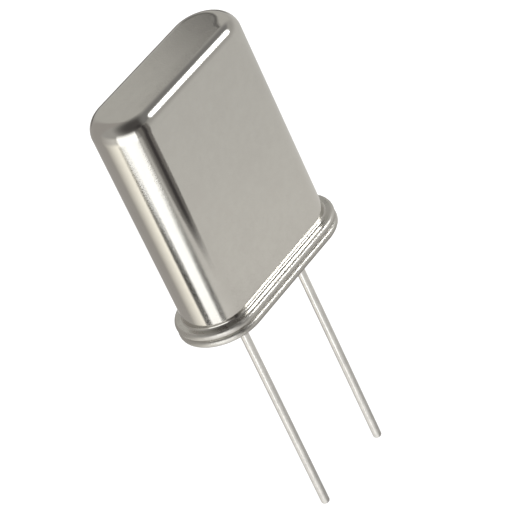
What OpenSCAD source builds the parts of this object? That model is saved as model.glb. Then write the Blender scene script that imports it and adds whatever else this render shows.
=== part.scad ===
// Quartz crystal unit in a resistance-welded metal holder with two wire leads.
// +Z is up, +X runs along the broad face and -Y is the front. The origin is the middle
// of the header's underside, which is the face that seats on a board.

/* [Case] */
// Width of the can across its round ends
can_w = 9.8; // [8.5:0.1:12]
// Depth of the can from front to back
can_t = 3.7; // [3.2:0.1:4.6]
// Height from the seat to the top of the can
case_h = 12.7; // [11:0.1:16]
// Wall of the can
can_wall = 0.25; // [0.15:0.01:0.35]
// Outer rounding where the can's wall meets its top
can_top_r = 0.93; // [0.5:0.01:1.4]
// Hollow rounding outside, where the can's wall meets its flange
foot_r = 0.1; // [0.05:0.01:0.25]
// Rounding of the can's inner edge at its open foot
mouth_r = 0.2; // [0.05:0.01:0.3]
// Thickness of the can's flange
can_flange_t = 0.41; // [0.25:0.01:0.6]
// How far both flanges stand out past the can's wall
flange_out = 0.45; // [0.4:0.01:0.8]
// Rounding of the outer edges of both flanges
flange_edge_r = 0.18; // [0.05:0.01:0.3]

/* [Header] */
// Thickness of the header's flange
header_flange_t = 0.41; // [0.4:0.01:0.6]
// Height of the header's platform above the seat
header_h = 1.2; // [0.8:0.05:1.8]
// Gap between the platform and the can's inner wall
header_gap = 0.04; // [0.02:0.01:0.1]
// Rounding of the platform's upper edge
header_top_r = 0.15; // [0.05:0.01:0.3]
// Diameter of each glass seal
seal_d = 1.9; // [1.2:0.1:2.4]
// How far the glass lies back from both faces of the header
seal_recess = 0.08; // [0:0.01:0.2]

/* [Leads] */
// Distance between the two leads' axes
lead_pitch = 4.88; // [4:0.01:6]
// Diameter of each lead where it is tinned
lead_d = 0.45; // [0.35:0.01:0.7]
// Thickness of the tin coat on the wire
tin_t = 0.01; // [0.005:0.005:0.02]
// Length below the seat over which the tin coat thins out to bare wire
tin_fade_l = 0.6; // [0.55:0.05:1]
// Length of each lead below the seat
lead_l = 12.8; // [3:0.1:30]
// Rounding of the leads' free ends
lead_tip_r = 0.12; // [0.02:0.01:0.16]
// Diameter of the head on the lead's inner end
nail_d = 0.8; // [0.6:0.05:1.1]
// Thickness of that head
nail_t = 0.18; // [0.1:0.01:0.4]
// Bare wire between the platform and the head
nail_gap = 0.5; // [0.2:0.05:1]

/* [Clips] */
// Thickness of the clips' strip
clip_t = 0.12; // [0.06:0.01:0.2]
// Width of the clips' strip
clip_w = 1.1; // [0.9:0.05:1.5]
// Inside rounding of the clips' bend
clip_bend_r = 0.15; // [0.05:0.01:0.3]
// How far the foot runs past the lead towards the middle
clip_foot_in = 0.5; // [0.4:0.05:0.8]
// How far the blank's rim reaches into the clip, to the clip's inner face
clip_bite = 0.25; // [0.15:0.01:0.35]
// How far the clips' two tines reach above the blank's middle
clip_tine_up = 1.3; // [0.6:0.05:1.8]
// Gap between the blank and the slot's sides and bottom
clip_gap = 0.06; // [0.03:0.01:0.15]

/* [Blank] */
// Least gap between the blank's rim and the can's round ends
blank_side_gap = 0.65; // [0.55:0.01:1.5]
// Least gap between the blank's rim and the can's top
blank_top_gap = 1.3; // [0.3:0.05:2]
// Thickness of the quartz blank
blank_t = 0.18; // [0.08:0.01:0.4]
// Gap between the blank's lower rim and the clips' feet
blank_gap = 1; // [0.4:0.05:1.4]
// Width of the bevel round the blank's rim
bevel_w = 0.3; // [0.1:0.05:0.6]
// Depth of that bevel on each face
bevel_t = 0.03; // [0.01:0.01:0.035]
// Diameter of the electrode film
film_d = 5; // [3:0.1:6]
// Thickness of the electrode film
film_t = 0.02; // [0.01:0.01:0.025]
// Width of the film's tab to the blank's rim
film_tab_w = 0.9; // [0.5:0.05:1.2]
// Radius of each dab of adhesive
dab_r = 0.5; // [0.4:0.01:0.55]
// Least gap between the electrode's disc and a dab
film_dab_gap = 0.1; // [0.05:0.01:0.5]

/* [Hidden] */
$fn = 64;
// Extra length on cutting shapes
over = 1;
// Centre of each round end, and the can's outer and inner radius there
end_x = (can_w - can_t) / 2;
can_r = can_t / 2;
bore_r = can_r - can_wall;
flange_r = can_r + flange_out;
// Underside and upper face of the can's flange
can_z = header_flange_t;
flange_top_z = can_z + can_flange_t;
// The flanges' edge rounding, limited by their thickness and by the hollow at the foot
edge_r = min(flange_edge_r, 0.45 * can_flange_t, 0.45 * header_flange_t, 0.95 * (flange_out - foot_r));
lead_x = lead_pitch / 2;
// Bare wire, inside the glass and the can
wire_d = lead_d - 2 * tin_t;
// Upper face of the nail heads, where the clips' feet sit
nail_z = header_h + nail_gap + nail_t;
// Lowest point of the blank's rim, and the largest blank that leaves both gaps
rim_z = nail_z + clip_t + blank_gap;
blank_d = min(can_w - 2 * (can_wall + blank_side_gap), case_h - can_wall - blank_top_gap - rim_z);
blank_r = blank_d / 2;
blank_z = rim_z + blank_r;
clip_x = blank_r - clip_bite;
clip_top_z = blank_z + clip_tine_up;
// Bottom of the clips' slots, just under the blank's rim there
slot_z = blank_z - sqrt(pow(blank_r, 2) - pow(clip_x, 2)) - clip_gap;
// Centres of the adhesive dabs, and the electrode film, which stays clear of the dabs
dab_x = clip_x + clip_t / 2;
film_r = min(film_d / 2, dab_x - dab_r - film_dab_gap);

// Sweeps a half profile round the holder's outline. The profile's x is the distance
// from the line between the two end centres, and its y is the height.
module round_sweep() {
    for (side = [0, 1])
        mirror([side, 0, 0])
            translate([end_x, 0, 0])
                rotate([0, 0, -90])
                    rotate_extrude(angle = 180)
                        children();
    translate([-end_x, 0, 0])
        rotate([90, 0, 90])
            linear_extrude(2 * end_x) {
                children();
                mirror([1, 0]) children();
            }
}

// Quarter disc that rounds off an outer corner at x, z; up is 1 for a top corner, -1 for a bottom one
module quarter_disc(x, z, r, up) {
    intersection() {
        translate([x - r, z - up * r]) circle(r);
        translate([x - r, up > 0 ? z - r : z]) square(r);
    }
}

// Block from the middle out to r, between two heights, with its upper edge rounded
module domed_block(r, z0, z1, round_r) {
    translate([0, z0]) square([r, z1 - z0 - round_r]);
    translate([0, z0]) square([r - round_r, z1 - z0]);
    quarter_disc(r, z1, round_r, 1);
}

// Flange from the middle out to r, between two heights, with both outer edges rounded
module flange_block(r, z0, z1, round_r) {
    translate([0, z0]) square([r - round_r, z1 - z0]);
    translate([0, z0 + round_r]) square([r, z1 - z0 - 2 * round_r]);
    quarter_disc(r, z1, round_r, 1);
    quarter_disc(r, z0, round_r, -1);
}

// Fills the corner at x, z, which opens outwards and up, with a hollow rounding of radius r
module corner_fill(x, z, r) {
    translate([x, z])
        difference() {
            square(r);
            translate([r, r]) circle(r);
        }
}

module can_profile() {
    difference() {
        union() {
            domed_block(can_r, can_z, case_h, can_top_r);
            flange_block(flange_r, can_z, flange_top_z, edge_r);
            corner_fill(can_r, flange_top_z, foot_r);
        }
        domed_block(bore_r, can_z - over, case_h - can_wall, can_top_r - can_wall);
        corner_fill(bore_r, can_z, mouth_r);
    }
}

module can() {
    color("silver")
        round_sweep() can_profile();
}

module header_profile() {
    flange_block(flange_r, 0, header_flange_t, edge_r);
    domed_block(bore_r - header_gap, 0, header_h, header_top_r);
}

module header_base() {
    color("lightsteelblue")
        difference() {
            round_sweep() header_profile();
            for (side = [-1, 1])
                translate([side * lead_x, 0, -over])
                    cylinder(h = header_h + 2 * over, d = seal_d);
        }
}

// side is -1 for the left and 1 for the right in every module below
module glass_seal(side) {
    color("darkslategray")
        translate([side * lead_x, 0, seal_recess])
            difference() {
                cylinder(h = header_h - 2 * seal_recess, d = seal_d);
                translate([0, 0, -over])
                    cylinder(h = header_h + 2 * over, d = wire_d);
            }
}

// Wire with a rounded free end, a tin coat below the seat and a flat head, as one turned outline
module lead(side) {
    tinned_r = lead_d / 2;
    wire_r = wire_d / 2;
    tinned_l = lead_l - tin_fade_l;
    color("gainsboro")
        translate([side * lead_x, 0, 0])
            rotate_extrude() {
                translate([0, -lead_l]) square([tinned_r - lead_tip_r, tinned_l]);
                quarter_disc(tinned_r, -lead_l, lead_tip_r, -1);
                translate([0, lead_tip_r - lead_l]) square([tinned_r, tinned_l - lead_tip_r]);
                polygon([[0, -tin_fade_l], [tinned_r, -tin_fade_l], [wire_r, 0], [0, 0]]);
                square([wire_r, nail_z]);
                translate([0, nail_z - nail_t]) square([nail_d / 2, nail_t]);
            }
}

// Strip bent up at a right angle: the foot lies on the nail head, the riser holds the rim
module clip_profile() {
    bend = clip_bend_r + clip_t;
    foot_x = lead_x - clip_foot_in;
    riser_x = clip_x + clip_t;
    translate([foot_x, nail_z]) square([riser_x - bend - foot_x, clip_t]);
    translate([clip_x, nail_z + bend]) square([clip_t, clip_top_z - nail_z - bend]);
    intersection() {
        translate([riser_x - bend, nail_z]) square(bend);
        translate([riser_x - bend, nail_z + bend])
            difference() {
                circle(bend);
                circle(clip_bend_r);
            }
    }
}

module clip(side) {
    slot_w = blank_t + 2 * clip_gap;
    color("khaki")
        mirror([side < 0 ? 1 : 0, 0, 0])
            difference() {
                translate([0, clip_w / 2, 0])
                    rotate([90, 0, 0])
                        linear_extrude(clip_w) clip_profile();
                translate([clip_x - over, -slot_w / 2, slot_z])
                    cube([clip_t + 2 * over, slot_w, clip_top_z - slot_z + over]);
            }
}

module quartz_blank() {
    half_t = blank_t / 2;
    color("lavender", 0.6)
        translate([0, 0, blank_z])
            rotate([90, 0, 0])
                rotate_extrude()
                    polygon([[0, -half_t], [blank_r - bevel_w, -half_t], [blank_r, bevel_t - half_t],
                             [blank_r, half_t - bevel_t], [blank_r - bevel_w, half_t], [0, half_t]]);
}

// Film on one face: face is -1 for the front, whose tab runs left, and 1 for the back
module electrode(face) {
    tab_l = blank_r - bevel_w;
    color("white")
        translate([0, face * (blank_t + film_t) / 2, blank_z])
            rotate([90, 0, 0])
                linear_extrude(film_t, center = true) {
                    circle(film_r);
                    intersection() {
                        circle(tab_l);
                        translate([face < 0 ? -tab_l : 0, -film_tab_w / 2])
                            square([tab_l, film_tab_w]);
                    }
                }
}

// Round dab at the rim that fills the slot round the blank
module adhesive(side) {
    color("dimgray")
        difference() {
            translate([side * dab_x, 0, blank_z]) sphere(dab_r);
            quartz_blank();
            electrode(-1);
            electrode(1);
            clip(side);
        }
}

can();
header_base();
glass_seal(-1);  // glass_seal_left
glass_seal(1);  // glass_seal_right
lead(-1);  // lead_left
lead(1);  // lead_right
clip(-1);  // clip_left
clip(1);  // clip_right
quartz_blank();
electrode(-1);  // electrode_front
electrode(1);  // electrode_back
adhesive(-1);  // adhesive_left
adhesive(1);  // adhesive_right
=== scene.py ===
import math
import bpy
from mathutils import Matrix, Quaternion, Vector


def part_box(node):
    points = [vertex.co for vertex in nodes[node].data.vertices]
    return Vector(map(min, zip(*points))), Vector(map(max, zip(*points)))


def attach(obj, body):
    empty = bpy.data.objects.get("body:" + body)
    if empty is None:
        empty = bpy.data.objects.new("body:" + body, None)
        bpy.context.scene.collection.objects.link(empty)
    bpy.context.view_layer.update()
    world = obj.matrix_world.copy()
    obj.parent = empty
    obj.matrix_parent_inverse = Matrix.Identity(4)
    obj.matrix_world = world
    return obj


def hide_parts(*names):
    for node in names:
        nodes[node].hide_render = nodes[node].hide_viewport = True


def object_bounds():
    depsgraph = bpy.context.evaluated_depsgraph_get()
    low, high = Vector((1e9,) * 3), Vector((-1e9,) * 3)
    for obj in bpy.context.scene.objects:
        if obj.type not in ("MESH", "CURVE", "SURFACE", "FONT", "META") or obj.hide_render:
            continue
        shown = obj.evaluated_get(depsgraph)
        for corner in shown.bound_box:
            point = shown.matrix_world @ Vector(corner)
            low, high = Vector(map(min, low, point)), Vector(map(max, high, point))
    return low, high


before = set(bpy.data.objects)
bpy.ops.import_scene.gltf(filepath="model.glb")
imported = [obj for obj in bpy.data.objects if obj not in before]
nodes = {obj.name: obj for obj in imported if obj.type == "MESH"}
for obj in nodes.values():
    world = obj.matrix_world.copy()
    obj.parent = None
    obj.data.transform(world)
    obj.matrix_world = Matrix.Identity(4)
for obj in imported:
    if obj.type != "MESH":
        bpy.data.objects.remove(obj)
cadLow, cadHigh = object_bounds()
mm = 0.001
canLow, canHigh = [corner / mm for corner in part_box("can")]
headerLow, headerHigh = [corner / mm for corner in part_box("header_base")]
sealLow, sealHigh = [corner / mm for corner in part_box("glass_seal_right")]
leadLow, leadHigh = [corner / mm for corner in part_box("lead_right")]
sealRadius = (sealHigh.x - sealLow.x) / 2
leadX = (leadLow.x + leadHigh.x) / 2

# lengths below are in millimetres unless they are handed to Blender
drawing = {"merge": 0.0005, "pick": 0.002, "arcPerMm": 40, "arcFewest": 4, "arcMost": 16}

# the outline is a straight run between two round ends; everything is swept round it
outline = {"flangeOut": 0.45, "steps": 72, "support": 0.04}
flangeRadius = canHigh.y
canRadius = flangeRadius - outline["flangeOut"]
endX = canHigh.x - flangeRadius


def deselectAll():
    if bpy.context.mode != "OBJECT":
        bpy.ops.object.mode_set(mode="OBJECT")
    bpy.ops.object.select_all(action="DESELECT")


def pickVertices(piece, test):
    # leaves the piece in edit mode with only the vertices that pass the test selected
    bpy.ops.object.mode_set(mode="EDIT")
    bpy.ops.mesh.select_mode(type="VERT")
    bpy.ops.mesh.select_all(action="DESELECT")
    bpy.ops.object.mode_set(mode="OBJECT")
    for vertex in piece.data.vertices:
        vertex.select = test(vertex.co / mm)
    bpy.ops.object.mode_set(mode="EDIT")


def drawProfile(name, corners, startX):
    # corners are (distance out, height, rounding); the chain is drawn in the plane x = startX
    def place(corner):
        return Vector((startX, -corner[0], corner[1]))

    deselectAll()
    last = place(corners[0])
    bpy.ops.mesh.primitive_plane_add(size=mm, location=last * mm)
    piece = bpy.context.object
    piece.name = name
    bpy.ops.object.transform_apply(location=True, rotation=True, scale=True)
    bpy.ops.object.mode_set(mode="EDIT")
    bpy.ops.mesh.merge(type="CENTER")
    for corner in corners[1:]:
        move = {"value": tuple((place(corner) - last) * mm)}
        bpy.ops.mesh.extrude_region_move(TRANSFORM_OT_translate=move)
        last = place(corner)
    for corner in corners:
        rounding = corner[2]
        if rounding:
            target = place(corner)
            pickVertices(piece, lambda co: (co - target).length < drawing["pick"])
            segments = round(rounding * drawing["arcPerMm"])
            segments = max(drawing["arcFewest"], min(drawing["arcMost"], segments))
            bpy.ops.mesh.bevel(offset=rounding * mm, segments=segments, affect="VERTICES")
    bpy.ops.mesh.select_all(action="SELECT")
    return piece


def finishPiece(piece, sharpAngle=40):
    # closes and shades the mesh; edges sharper than the angle in degrees stay crisp
    bpy.ops.object.mode_set(mode="EDIT")
    bpy.ops.mesh.select_all(action="SELECT")
    bpy.ops.mesh.remove_doubles(threshold=drawing["merge"] * mm)
    bpy.ops.mesh.dissolve_degenerate(threshold=drawing["merge"] * mm)
    bpy.ops.mesh.select_all(action="SELECT")
    bpy.ops.mesh.normals_make_consistent(inside=False)
    bpy.ops.object.mode_set(mode="OBJECT")
    bpy.ops.object.shade_smooth_by_angle(angle=math.radians(sharpAngle))
    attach(piece, "root")


def sweepRound():
    # takes the selected chain round the two ends and along the two straight runs
    support = outline["support"]
    for side in (1, -1):
        centre = (side * endX * mm, 0, 0)
        bpy.ops.mesh.spin(steps=outline["steps"], angle=-math.pi, center=centre, axis=(0, 0, 1))
        for run in (support, 2 * (endX - support), support):
            move = {"value": (-side * run * mm, 0, 0)}
            bpy.ops.mesh.extrude_region_move(TRANSFORM_OT_translate=move)


def turnRound(centreX, steps=48):
    # turns the selected chain once round an upright axis
    bpy.ops.mesh.spin(steps=steps, angle=2 * math.pi, center=(centreX * mm, 0, 0), axis=(0, 0, 1))


can = {"wall": 0.25, "topRounding": 0.93, "footHollow": 0.1, "flangeThickness": 0.41,
       "flangeRounding": 0.18, "mouthRounding": 0.2, "near": 0.05}


def makeCan():
    seam = canLow.z
    flangeTop = seam + can["flangeThickness"]
    bore = canRadius - can["wall"]
    top = canHigh.z
    # a short straight run beside each large rounding keeps the wall and the top flat
    near = can["near"]
    corners = [
        (0, top, 0),
        (canRadius - can["topRounding"] - near, top, 0),
        (canRadius, top, can["topRounding"]),
        (canRadius, top - can["topRounding"] - near, 0),
        (canRadius, flangeTop + can["footHollow"] + near, 0),
        (canRadius, flangeTop, can["footHollow"]),
        (flangeRadius, flangeTop, can["flangeRounding"]),
        (flangeRadius, seam, can["flangeRounding"]),
        (bore, seam, can["mouthRounding"]),
        (bore, seam + can["mouthRounding"] + near, 0),
        (bore, top - can["topRounding"] - near, 0),
        (bore, top - can["wall"], can["topRounding"] - can["wall"]),
        (canRadius - can["topRounding"] - near, top - can["wall"], 0),
        (0, top - can["wall"], 0),
    ]
    piece = drawProfile("canShell", corners, endX)
    sweepRound()
    finishPiece(piece)
    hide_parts("can")
    return piece


header = {"platformGap": 0.04, "platformRounding": 0.15, "flangeRounding": 0.18, "holeFlare": 0.04,
          "holeSteps": 64, "cutterPast": 0.5}


def makeHeader():
    platform = canRadius - can["wall"] - header["platformGap"]
    flangeTop = canLow.z
    corners = [
        (0, headerHigh.z, 0),
        (platform, headerHigh.z, header["platformRounding"]),
        (platform, flangeTop, 0),
        (flangeRadius, flangeTop, header["flangeRounding"]),
        (flangeRadius, headerLow.z, header["flangeRounding"]),
        (0, headerLow.z, 0),
    ]
    piece = drawProfile("headerBase", corners, endX)
    sweepRound()
    finishPiece(piece)
    for side in (-1, 1):
        cutHole(piece, side * leadX)
    finishPiece(piece)
    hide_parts("header_base")
    return piece


def cutHole(piece, centreX):
    # the cutter flares at both faces of the header, which leaves a chamfered rim
    past = header["cutterPast"]
    flare = header["holeFlare"]
    mouth = sealRadius + flare
    corners = [
        (0, headerHigh.z + past, 0),
        (mouth, headerHigh.z + past, 0),
        (mouth, headerHigh.z, 0),
        (sealRadius, headerHigh.z - flare, 0),
        (sealRadius, headerLow.z + flare, 0),
        (mouth, headerLow.z, 0),
        (mouth, headerLow.z - past, 0),
        (0, headerLow.z - past, 0),
    ]
    cutter = drawProfile("holeCutter", corners, centreX)
    turnRound(centreX, header["holeSteps"])
    bpy.ops.mesh.select_all(action="SELECT")
    bpy.ops.mesh.remove_doubles(threshold=drawing["merge"] * mm)
    bpy.ops.mesh.normals_make_consistent(inside=False)
    deselectAll()
    piece.select_set(True)
    bpy.context.view_layer.objects.active = piece
    cut = piece.modifiers.new("hole", "BOOLEAN")
    cut.operation = "DIFFERENCE"
    cut.solver = "EXACT"
    cut.object = cutter
    bpy.ops.object.modifier_apply(modifier=cut.name)
    bpy.data.objects.remove(cutter)


# the glass dips between its rim and the wire, and creeps a little way along the wire
seal = {"meniscus": 0.16, "dip": 0.1, "shoulder": 0.7, "creep": 0.06, "creepFoot": 0.01, "rim": 0.04}
lead = {"tinned": 0.45, "wire": 0.43, "tinFade": 0.6, "tipRounding": 0.12, "tipRun": 0.3,
        "neckRun": 0.1, "neckRounding": 0.05, "headThickness": 0.18, "headRounding": 0.04}


def makeSeal(side):
    wire = lead["wire"] / 2
    name = "glassSealLeft" if side < 0 else "glassSealRight"
    low, high = sealLow.z, sealHigh.z
    creep, rise = seal["creep"], seal["meniscus"]
    shoulder = low + seal["dip"] * seal["shoulder"]
    bottom = [
        (wire, low - creep),
        (wire + creep, low - seal["creepFoot"]),
        (wire + rise, shoulder),
        ((wire + sealRadius) / 2, low + seal["dip"]),
        (sealRadius - rise, shoulder),
        (sealRadius - seal["rim"], low),
    ]
    top = [(out, low + high - height) for out, height in reversed(bottom)]
    chain = bottom + [(sealRadius, low), (sealRadius, high)] + top + bottom[:1]
    piece = drawProfile(name, [(out, height, 0) for out, height in chain], side * leadX)
    turnRound(side * leadX)
    finishPiece(piece, 60)
    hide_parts("glass_seal_left" if side < 0 else "glass_seal_right")
    return piece


def makeLead(side):
    # the tin coat thins out below the seat, so that bare wire runs through the glass
    head = (leadHigh.y - leadLow.y) / 2
    name = "leadLeft" if side < 0 else "leadRight"
    under = leadHigh.z - lead["headThickness"]
    tinned, wire = lead["tinned"] / 2, lead["wire"] / 2
    corners = [
        (0, leadLow.z, 0),
        (tinned, leadLow.z, lead["tipRounding"]),
        (tinned, leadLow.z + lead["tipRun"], 0),
        (tinned, -lead["tinFade"], 0),
        (wire, 0, 0),
        (wire, under - lead["neckRun"], 0),
        (wire, under, lead["neckRounding"]),
        (head, under, lead["headRounding"]),
        (head, leadHigh.z, lead["headRounding"]),
        (0, leadHigh.z, 0),
    ]
    piece = drawProfile(name, corners, side * leadX)
    turnRound(side * leadX)
    finishPiece(piece)
    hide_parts("lead_left" if side < 0 else "lead_right")
    return piece


class Socket:
    # wraps a node's output so that sums and products of values read as plain maths
    def __init__(self, tree, link):
        self.tree = tree
        self.link = link

    def math(self, operation, other, swapped=False):
        first, second = (other, self) if swapped else (self, other)
        return self.tree.node("Math", {"operation": operation}, {0: first, 1: second})

    def __add__(self, other): return self.math("ADD", other)
    def __radd__(self, other): return self.math("ADD", other, True)
    def __sub__(self, other): return self.math("SUBTRACT", other)
    def __rsub__(self, other): return self.math("SUBTRACT", other, True)
    def __mul__(self, other): return self.math("MULTIPLY", other)
    def __rmul__(self, other): return self.math("MULTIPLY", other, True)
    def __truediv__(self, other): return self.math("DIVIDE", other)
    def atMost(self, other): return self.math("MINIMUM", other)
    def atLeast(self, other): return self.math("MAXIMUM", other)


class Tree:
    # clears the node tree of a material or world and adds linked nodes to it
    def __init__(self, owner):
        owner.use_nodes = True
        self.nodes = owner.node_tree.nodes
        self.links = owner.node_tree.links
        self.nodes.clear()

    def node(self, kind, settings, inputs, output=0):
        # one output comes back as a Socket, and a tuple of names as a list of them
        made = self.nodes.new("ShaderNode" + kind)
        for key, value in settings.items():
            setattr(made, key, value)
        for key, value in inputs.items():
            if isinstance(value, Socket):
                self.links.new(value.link, made.inputs[key])
            else:
                made.inputs[key].default_value = value
        if isinstance(output, tuple):
            return [Socket(self, made.outputs[name]) for name in output]
        return Socket(self, made.outputs[output]) if made.outputs else None

    def mix(self, factor, first, second):
        # inputs 6 and 7 and output 2 are the node's colour sockets
        return self.node("Mix", {"data_type": "RGBA"}, {0: factor, 6: first, 7: second}, 2)

    def noise(self, place, scale, detail, roughness):
        inputs = {"Vector": place, "Scale": scale, "Detail": detail, "Roughness": roughness}
        return self.node("TexNoise", {}, inputs)

    def bump(self, height):
        return self.node("Bump", {}, {"Strength": 1.0, "Distance": 1.0, "Height": height})

    def split(self, place):
        return self.node("SeparateXYZ", {}, {0: place}, ("X", "Y", "Z"))

    def ramp(self, value, low, high, outLow=0.0, outHigh=1.0):
        settings = {"interpolation_type": "SMOOTHSTEP"}
        inputs = {"Value": value, "From Min": low, "From Max": high}
        inputs.update({"To Min": outLow, "To Max": outHigh})
        return self.node("MapRange", settings, inputs)

    def between(self, value, rise, fall):
        # climbs from 0 to 1 over the pair rise, and goes back to 0 over the pair fall
        return self.ramp(value, *rise) * (1 - self.ramp(value, *fall))

    def band(self, value, low, high, soft):
        # 1 between low and high, and soft is half the width of the change at each limit
        return self.between(value, (low - soft, low + soft), (high - soft, high + soft))


def colour(red, green, blue):
    return (red, green, blue, 1.0)


def objectPlace(tree, stretch=(1, 1, 1)):
    # object coordinates in millimetres, optionally stretched along an axis
    place = tree.node("TexCoord", {}, {}, "Object")
    scale = tuple(amount / mm for amount in stretch)
    return tree.node("Mapping", {}, {"Vector": place, "Scale": scale})


# noises are (scale, detail, roughness), weld is (low, high, softness) in millimetres, and the
# mottle scales the roughness by the first share plus the second times its value
plating = {"stain": (0.5, 4, 0.6), "mottle": (2.2, 3, 0.55), "lines": (9, 4, 0.65),
           "grain": (18, 3, 0.6), "lineStretch": (1, 1, 0.06), "stainShare": 0.6, "mottleShare": 0.4,
           "toneRange": (0.35, 0.65), "mottled": (0.75, 0.5), "lineRange": (0.55, 0.8),
           "lineRoughness": 0.03, "weld": (-0.2, 0.84, 0.05), "weldMottle": (0.3, 0.7, 0.6, 1.2)}
canFinish = {"bright": colour(0.7, 0.687, 0.65), "dull": colour(0.675, 0.66, 0.625),
             "roughness": 0.05, "grain": 0.0016, "drawLines": 0.0004,
             "weldRoughness": 0.36, "weldGrain": 0.0036}
headerFinish = {"bright": colour(0.7, 0.687, 0.65), "dull": colour(0.62, 0.605, 0.57),
                "roughness": 0.12, "grain": 0.003, "drawLines": 0.0,
                "weldRoughness": 0.24, "weldGrain": 0.006}
leadFinish = {"bright": colour(0.86, 0.85, 0.83), "dull": colour(0.76, 0.75, 0.73),
              "roughness": 0.15, "grain": 0.003, "drawLines": 0.007,
              "weldRoughness": 0.0, "weldGrain": 0.0}


def nickelMaterial(name, finish):
    # plated metal; the welded rim low down is rougher, with a coarser grain
    material = bpy.data.materials.new(name)
    tree = Tree(material)
    place = objectPlace(tree)
    upright = objectPlace(tree, plating["lineStretch"])
    stain = tree.noise(place, *plating["stain"])
    mottle = tree.noise(place, *plating["mottle"])
    lines = tree.noise(upright, *plating["lines"])
    grain = tree.noise(place, *plating["grain"])
    weld = tree.band(tree.split(place)[2], *plating["weld"])
    tone = stain * plating["stainShare"] + mottle * plating["mottleShare"]
    base = tree.mix(tree.ramp(tone, *plating["toneRange"]), finish["bright"], finish["dull"])
    plain, varied = plating["mottled"]
    rough = finish["roughness"] * (plain + varied * mottle)
    rough = rough + plating["lineRoughness"] * tree.ramp(lines, *plating["lineRange"])
    rough = rough + weld * finish["weldRoughness"] * tree.ramp(mottle, *plating["weldMottle"])
    amount = finish["grain"] * mm + weld * (finish["weldGrain"] * mm)
    height = grain * amount + lines * (finish["drawLines"] * mm)
    settings = {"Base Color": base, "Metallic": 1.0, "Roughness": rough, "Normal": tree.bump(height)}
    shader = tree.node("BsdfPrincipled", {}, settings)
    tree.node("OutputMaterial", {}, {"Surface": shader})
    return material


glassFinish = {"deep": colour(0.012, 0.022, 0.022), "clear": colour(0.03, 0.05, 0.047),
               "clouds": (3.5, 4, 0.6), "cloudRange": (0.3, 0.7), "ripple": 0.01,
               "roughness": 0.06, "refraction": 1.52}


def glassMaterial():
    finish = glassFinish
    material = bpy.data.materials.new("sealingGlass")
    tree = Tree(material)
    clouds = tree.noise(objectPlace(tree), *finish["clouds"])
    base = tree.mix(tree.ramp(clouds, *finish["cloudRange"]), finish["deep"], finish["clear"])
    bump = tree.bump(clouds * (finish["ripple"] * mm))
    settings = {"Base Color": base, "Roughness": finish["roughness"], "IOR": finish["refraction"],
                "Normal": bump}
    shader = tree.node("BsdfPrincipled", {}, settings)
    tree.node("OutputMaterial", {}, {"Surface": shader})
    return material


innerMottle = {"range": (0.35, 0.65), "plain": 0.8, "varied": 0.4}
innerFinish = {
    "clipNickel": {"first": colour(0.66, 0.64, 0.57), "second": colour(0.58, 0.56, 0.5),
                   "metallic": 1.0, "roughness": 0.3, "clouds": (4, 4, 0.6), "bump": 0.004},
    "silverFilm": {"first": colour(0.93, 0.92, 0.89), "second": colour(0.86, 0.85, 0.82),
                   "metallic": 1.0, "roughness": 0.2, "clouds": (2, 4, 0.6), "bump": 0.001},
    "silverEpoxy": {"first": colour(0.36, 0.35, 0.34), "second": colour(0.48, 0.47, 0.45),
                    "metallic": 0.6, "roughness": 0.5, "clouds": (6, 4, 0.6), "bump": 0.02},
    "quartz": {"first": colour(0.8, 0.82, 0.83), "second": colour(0.88, 0.89, 0.9),
               "metallic": 0.0, "roughness": 0.35, "clouds": (3, 4, 0.6), "bump": 0.002},
}


def plainMaterial(name, finish):
    # two tones of one finish, mottled, with a fine bump
    material = bpy.data.materials.new(name)
    tree = Tree(material)
    clouds = tree.noise(objectPlace(tree), *finish["clouds"])
    base = tree.mix(tree.ramp(clouds, *innerMottle["range"]), finish["first"], finish["second"])
    rough = finish["roughness"] * (innerMottle["plain"] + innerMottle["varied"] * clouds)
    bump = tree.bump(clouds * (finish["bump"] * mm))
    settings = {"Base Color": base, "Metallic": finish["metallic"], "Roughness": rough, "Normal": bump}
    shader = tree.node("BsdfPrincipled", {}, settings)
    tree.node("OutputMaterial", {}, {"Surface": shader})
    return material


def dress(piece, material):
    piece.data.materials.clear()
    piece.data.materials.append(material)


# angles in degrees; the lens and the sensor are in millimetres of the camera, nearest is in metres
view = {"azimuth": -39.38, "elevation": 32.46, "roll": 25.52, "distance": 142.06, "lens": 208.06,
        "sensor": 36, "nearest": 0.01, "aim": (0.5, 0.24, 0.79)}


def makeCamera():
    azimuth, elevation = math.radians(view["azimuth"]), math.radians(view["elevation"])
    level = math.cos(elevation)
    back = Vector((math.sin(azimuth) * level, -math.cos(azimuth) * level, math.sin(elevation)))
    data = bpy.data.cameras.new("camera")
    data.lens = view["lens"]
    data.sensor_width = view["sensor"]
    data.clip_start = view["nearest"]
    camera = bpy.data.objects.new("camera", data)
    bpy.context.scene.collection.objects.link(camera)
    camera.location = (Vector(view["aim"]) + back * view["distance"]) * mm
    camera.rotation_mode = "QUATERNION"
    upright = (-back).to_track_quat("-Z", "Y")
    camera.rotation_quaternion = upright @ Quaternion((0, 0, 1), -math.radians(view["roll"]))
    bpy.context.scene.camera = camera


ground = {"drop": 30, "size": 4000, "paint": colour(0.92, 0.92, 0.92)}


def makeFloor():
    # seen from below the floor is clear, and the metal doesn't mirror it
    deselectAll()
    height = cadLow.z / mm - ground["drop"]
    bpy.ops.mesh.primitive_plane_add(size=ground["size"] * mm, location=(0, 0, height * mm))
    floor = bpy.context.object
    floor.name = "floor"
    material = bpy.data.materials.new("paleFloor")
    tree = Tree(material)
    paint = tree.node("BsdfDiffuse", {}, {"Color": ground["paint"]})
    clear = tree.node("BsdfTransparent", {}, {})
    under = tree.node("NewGeometry", {}, {}, "Backfacing")
    shader = tree.node("MixShader", {}, {0: under, 1: paint, 2: clear})
    tree.node("OutputMaterial", {}, {"Surface": shader})
    dress(floor, material)
    floor.visible_glossy = False


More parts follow.
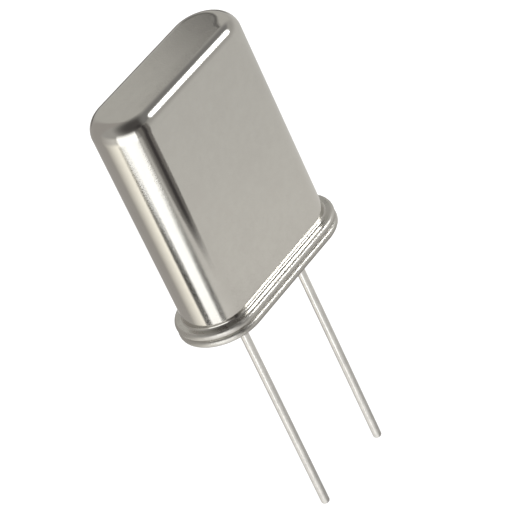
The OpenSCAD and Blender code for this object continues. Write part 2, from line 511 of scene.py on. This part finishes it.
card = {"bearing": 10, "distance": 22, "low": -10.2, "high": 24, "width": 17, "foot": 4.5,
        "taper": 6.5, "beyondEnd": 0.6, "front": 1.7, "footShift": 2.2, "stripe": (-1.5, 3, 1.5),
        "leftFade": 5, "rightFade": 2.4, "footFade": 4, "cloth": colour(0.19, 0.18, 0.17),
        "stripeCloth": colour(0.06, 0.055, 0.055)}


def makeCard():
    # dark card that stands off the left front corner and shows only in the metal; its foot is narrow
    deselectAll()
    turn = math.radians(card["bearing"])
    corner = Vector((-endX - card["beyondEnd"], -card["front"], 0))
    middle = Vector((-math.sin(turn), -math.cos(turn), 0)) * card["distance"] + corner
    bpy.ops.mesh.primitive_plane_add(size=mm, location=(0, 0, 0))
    plane = bpy.context.object
    plane.name = "darkCard"
    plane.dimensions = (card["width"] * mm, (card["high"] - card["low"]) * mm, 0)
    bpy.ops.object.transform_apply(location=False, rotation=False, scale=True)
    bpy.ops.object.mode_set(mode="EDIT")
    foot = (card["low"] - card["high"]) / 2
    bpy.ops.mesh.bisect(plane_co=(0, (foot + card["taper"]) * mm, 0), plane_no=(0, 1, 0))
    pickVertices(plane, lambda co: co.y < foot + drawing["pick"])
    share = card["foot"] / card["width"]
    pivot = (card["footShift"] * mm, foot * mm, 0)
    bpy.ops.transform.resize(value=(share, 1, 1), center_override=pivot)
    bpy.ops.object.mode_set(mode="OBJECT")
    plane.rotation_euler = (math.pi / 2, 0, -turn)
    plane.location = (middle + Vector((0, 0, (card["low"] + card["high"]) / 2))) * mm
    material = bpy.data.materials.new("darkCard")
    tree = Tree(material)
    across, up = tree.split(objectPlace(tree))[:2]
    half = card["width"] / 2
    cloth = tree.mix(tree.band(across, *card["stripe"]), card["cloth"], card["stripeCloth"])
    glow = tree.node("Emission", {}, {"Color": cloth, "Strength": 1.0})
    clear = tree.node("BsdfTransparent", {}, {})
    cover = tree.between(across, (-half, -half + card["leftFade"]), (half - card["rightFade"], half))
    cover = cover * tree.ramp(up, foot, foot + card["footFade"])
    shader = tree.node("MixShader", {}, {0: cover, 1: clear, 2: glow})
    tree.node("OutputMaterial", {}, {"Surface": shader})
    dress(plane, material)
    for sight in ("camera", "diffuse", "transmission", "volume_scatter", "shadow"):
        setattr(plane, "visible_" + sight, False)


light = {"face": colour(0.6, 0.59, 0.565), "faceLow": colour(0.72, 0.7, 0.665),
         "upper": colour(0.43, 0.42, 0.4), "away": colour(0.41, 0.39, 0.37),
         "cream": colour(1.34, 1.29, 1.16), "creamEnd": colour(0.41, 0.39, 0.365),
         "panel": colour(1.6, 1.6, 1.58), "box": colour(16, 16, 16),
         "boxEdge": colour(1.1, 1.1, 1.1), "boxRim": colour(0.24, 0.235, 0.23),
         "dark": colour(0.12, 0.112, 0.108), "darkest": colour(0.045, 0.04, 0.04),
         "black": colour(0.012, 0.011, 0.011),
         "topLeft": colour(0.53, 0.52, 0.49), "topRight": colour(0.16, 0.155, 0.15),
         "footDark": colour(0.36, 0.35, 0.335), "footLight": colour(1.02, 1.0, 0.97),
         "ambient": colour(1.25, 1.25, 1.25), "backdrop": colour(1, 1, 1)}

# bearing turns from the front towards the left end, height is above the horizon, both in degrees;
# a pair is where a change starts and ends, two pairs are a rise and a fall, and three numbers are
# the limits of a band and its softness
zone = {"stripTop": -29.4, "stripDepth": 3.9, "stripEnd": (-29, -27), "upper": (-8, 22),
        "creamReach": (103, 142), "creamHeight": (-34, -8), "creamStart": (70, 80),
        "creamTop": (4, 22), "awayLeft": (136, 150), "awayRight": (-168, -150),
        "behind": (-168, -94, 8), "behindHeight": (4, 20), "rim": (-166, -120, 8),
        "rimHeight": (-9, 1, 3), "wall": ((-2, 12), (12, 42)), "wallHeight": (-21, 45, 7),
        "border": ((68, 74), (97, 101)), "borderShade": (91, 102), "panelTop": (8, 32),
        "footLeft": (-22, 44), "footBack": (84, 165), "footTop": (-34.8, -33.7),
        "boxRimHeight": (28, 40)}

# the tall panel's edges lean over the strip; single numbers are degrees, pairs shares of the strip
tall = {"left": 33.5, "lean": 17, "right": 76, "widen": 12, "flare": 5, "edge": 2.5, "edgeSoften": 3,
        "lineOut": 17, "lineIn": 13, "lineGap": 1, "lineEnd": 2, "lineSpan": (0.4, 0.78),
        "borderSpan": (-0.1, 0.38), "wideSpan": (0.15, 0.6), "flareSpan": (0.8, 1.0)}

# aims are (bearing, height), and the pairs are parts of a unit direction
spot = {"ceilingAim": (32, 58), "ceiling": (0.6, 0.99), "ceilingDepth": 0.9, "boxAim": (-45, 31),
        "boxRim": (0.74, 0.91), "boxEdge": (0.965, 0.986), "box": (0.987, 0.996),
        "topDim": ((0.56, 0.578), (0.6, 0.69))}


def makeWorld():
    world = bpy.data.worlds.new("studio")
    bpy.context.scene.world = world
    tree = Tree(world)
    direction = tree.node("TexCoord", {}, {}, "Generated")
    across, along, up = tree.split(direction)
    perRadian = 180 / math.pi
    bearing = (0 - across).math("ARCTAN2", 0 - along) * perRadian
    height = tree.node("Math", {"operation": "ARCSINE"}, {0: up}) * perRadian

    def towards(turn, rise):
        # cosine of the angle to a fixed direction
        turn, rise = math.radians(turn), math.radians(rise)
        level = math.cos(rise)
        aim = (-math.sin(turn) * level, -math.cos(turn) * level, math.sin(rise))
        inputs = {0: direction, 1: aim}
        return tree.node("VectorMath", {"operation": "DOT_PRODUCT"}, inputs, "Value")

    # the walls look at a narrow strip of the studio; low runs down that strip from 0 to 1
    low = ((zone["stripTop"] - height) / zone["stripDepth"]).atLeast(0).atMost(1)
    below = 1 - tree.ramp(height, *zone["stripEnd"])
    sky = tree.mix(low, light["face"], light["faceLow"])
    sky = tree.mix(tree.ramp(height, *zone["upper"]), sky, light["upper"])
    # cream wall at the left that falls off towards the back
    near, far = zone["creamReach"]
    reach = tree.node("MapRange", {}, {"Value": bearing, "From Min": near, "From Max": far})
    cream = tree.mix(reach, light["cream"], light["creamEnd"])
    creamHigh = tree.mix(reach, light["faceLow"], light["creamEnd"])
    cream = tree.mix(tree.ramp(height, *zone["creamHeight"]), cream, creamHigh)
    leftWall = tree.ramp(bearing, *zone["creamStart"]) * (1 - tree.ramp(height, *zone["creamTop"]))
    sky = tree.mix(leftWall, sky, cream)
    away = tree.ramp(bearing, *zone["awayLeft"]) + (1 - tree.ramp(bearing, *zone["awayRight"]))
    sky = tree.mix(away.atMost(1), sky, light["away"])
    # what the closed top looks at, which darkens towards the right end
    behind = tree.band(bearing, *zone["behind"]) * tree.ramp(height, *zone["behindHeight"])
    dim = tree.between(across, *spot["topDim"])
    sky = tree.mix(behind, sky, tree.mix(dim, light["topLeft"], light["topRight"]))
    rim = tree.band(bearing, *zone["rim"]) * tree.band(height, *zone["rimHeight"])
    sky = tree.mix(rim, sky, light["darkest"])
    # dark wall at the front left, and the dark ceiling above it
    wall = tree.between(bearing, *zone["wall"]) * tree.band(height, *zone["wallHeight"])
    sky = tree.mix(wall, sky, light["dark"])
    ceiling = tree.ramp(towards(*spot["ceilingAim"]), *spot["ceiling"]) * spot["ceilingDepth"]
    sky = tree.mix(ceiling, sky, light["darkest"])
    # tall white panel with dark edges, which show only low down
    left = tall["left"] + tall["lean"] * low
    start = left + tall["lineGap"]
    outer = (left - tall["lineOut"], left - tall["lineIn"])
    line = tree.between(bearing, outer, (start, left + tall["lineEnd"]))
    sky = tree.mix(line * tree.ramp(low, *tall["lineSpan"]) * below, sky, light["black"])
    shade = tree.mix(tree.ramp(bearing, *zone["borderShade"]), light["black"], light["creamEnd"])
    border = tree.between(bearing, *zone["border"])
    sky = tree.mix(border * tree.ramp(low, *tall["borderSpan"]) * below, sky, shade)
    wide = 1 - tree.ramp(low, *tall["wideSpan"])
    right = tall["right"] + tall["widen"] * wide + tall["flare"] * tree.ramp(low, *tall["flareSpan"])
    soft = right + tall["edge"] + tall["edgeSoften"] * wide
    panel = tree.between(bearing, (start, left + tall["edge"]), (right, soft))
    panel = panel * (1 - tree.ramp(height, *zone["panelTop"]))
    sky = tree.mix(panel, sky, light["panel"])
    # below the strip the leads see a floor that is lit from the left front
    foot = tree.mix(tree.ramp(bearing, *zone["footLeft"]), light["footDark"], light["footLight"])
    foot = tree.mix(tree.ramp(bearing, *zone["footBack"]), foot, light["faceLow"])
    sky = tree.mix(1 - tree.ramp(height, *zone["footTop"]), sky, foot)
    # round softbox in front, with a dark rim along its upper side
    box = towards(*spot["boxAim"])
    edge = tree.ramp(box, *spot["boxRim"]) * tree.ramp(height, *zone["boxRimHeight"])
    sky = tree.mix(edge, sky, light["boxRim"])
    sky = tree.mix(tree.ramp(box, *spot["boxEdge"]), sky, light["boxEdge"])
    sky = tree.mix(tree.ramp(box, *spot["box"]), sky, light["box"])
    # the backdrop is white, and matt surfaces are lit evenly
    camera, diffuse = tree.node("LightPath", {}, {}, ("Is Camera Ray", "Is Diffuse Ray"))
    sky = tree.mix(diffuse, sky, light["ambient"])
    sky = tree.mix(camera, sky, light["backdrop"])
    backdrop = tree.node("Background", {}, {"Color": sky, "Strength": 1.0})
    tree.node("OutputWorld", {}, {"Surface": backdrop})


print("camera and studio")
makeCamera()
makeFloor()
makeCard()
makeWorld()
bpy.context.scene.view_settings.view_transform = "Standard"

print("can")
dress(makeCan(), nickelMaterial("canNickel", canFinish))
print("header")
dress(makeHeader(), nickelMaterial("headerNickel", headerFinish))
print("seals and leads")
glass = glassMaterial()
tin = nickelMaterial("leadTin", leadFinish)
for side in (-1, 1):
    dress(makeSeal(side), glass)
    dress(makeLead(side), tin)

print("inner pieces")
inner = {name: plainMaterial(name, finish) for name, finish in innerFinish.items()}
for side in ("left", "right"):
    dress(nodes["clip_" + side], inner["clipNickel"])
    dress(nodes["adhesive_" + side], inner["silverEpoxy"])
for face in ("front", "back"):
    dress(nodes["electrode_" + face], inner["silverFilm"])
dress(nodes["quartz_blank"], inner["quartz"])
